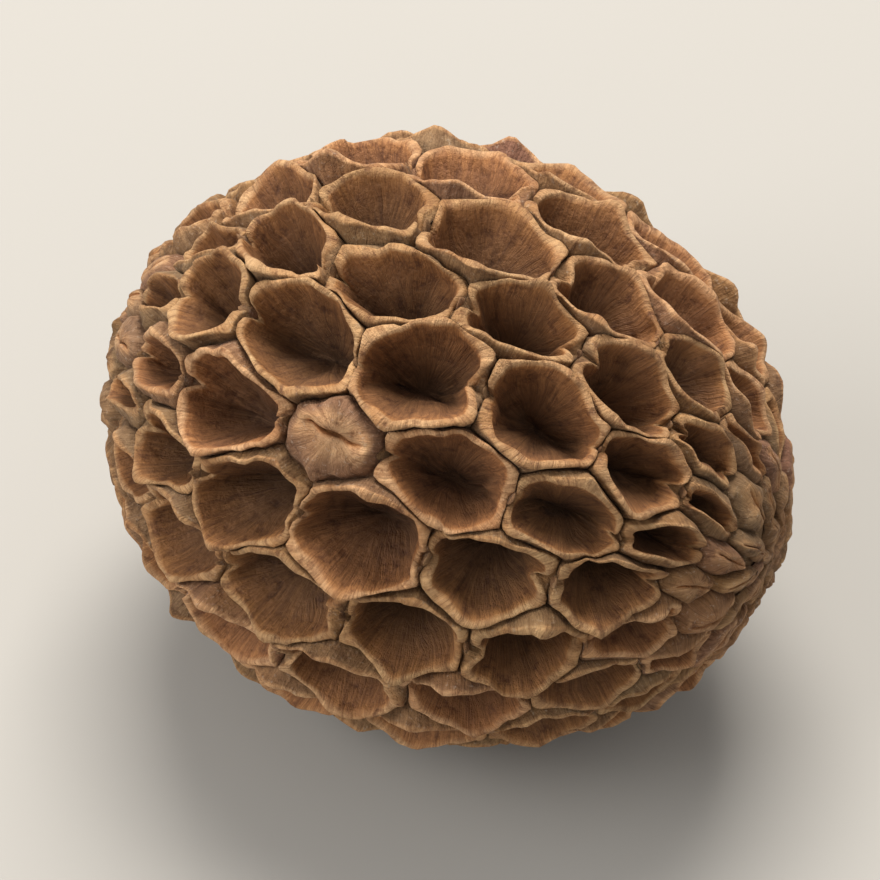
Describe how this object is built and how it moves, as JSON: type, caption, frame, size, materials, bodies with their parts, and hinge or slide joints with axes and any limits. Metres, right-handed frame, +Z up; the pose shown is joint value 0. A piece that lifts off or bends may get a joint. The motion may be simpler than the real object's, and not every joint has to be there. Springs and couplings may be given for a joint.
{
  "type": "casuarina cone",
  "caption": "Egg-shaped woody seed cone lying on its side, covered in straight rows of open two-valved seed cells, for decoration or craft",
  "frame": {"origin": "on the surface that the cone rests on, under the middle of its box", "axes": "+Z up; the cone's own axis lies along X, with its tip at +X and its stalk at -X"},
  "size_m": [0.0258, 0.0222, 0.021],
  "materials": {
    "cone_wood": "dry rough brown wood, worn to tan along the rims of the valves and dark inside the cells"
  },
  "bodies": {
    "root": {"cone": "cone_wood"}
  },
  "joints": []
}
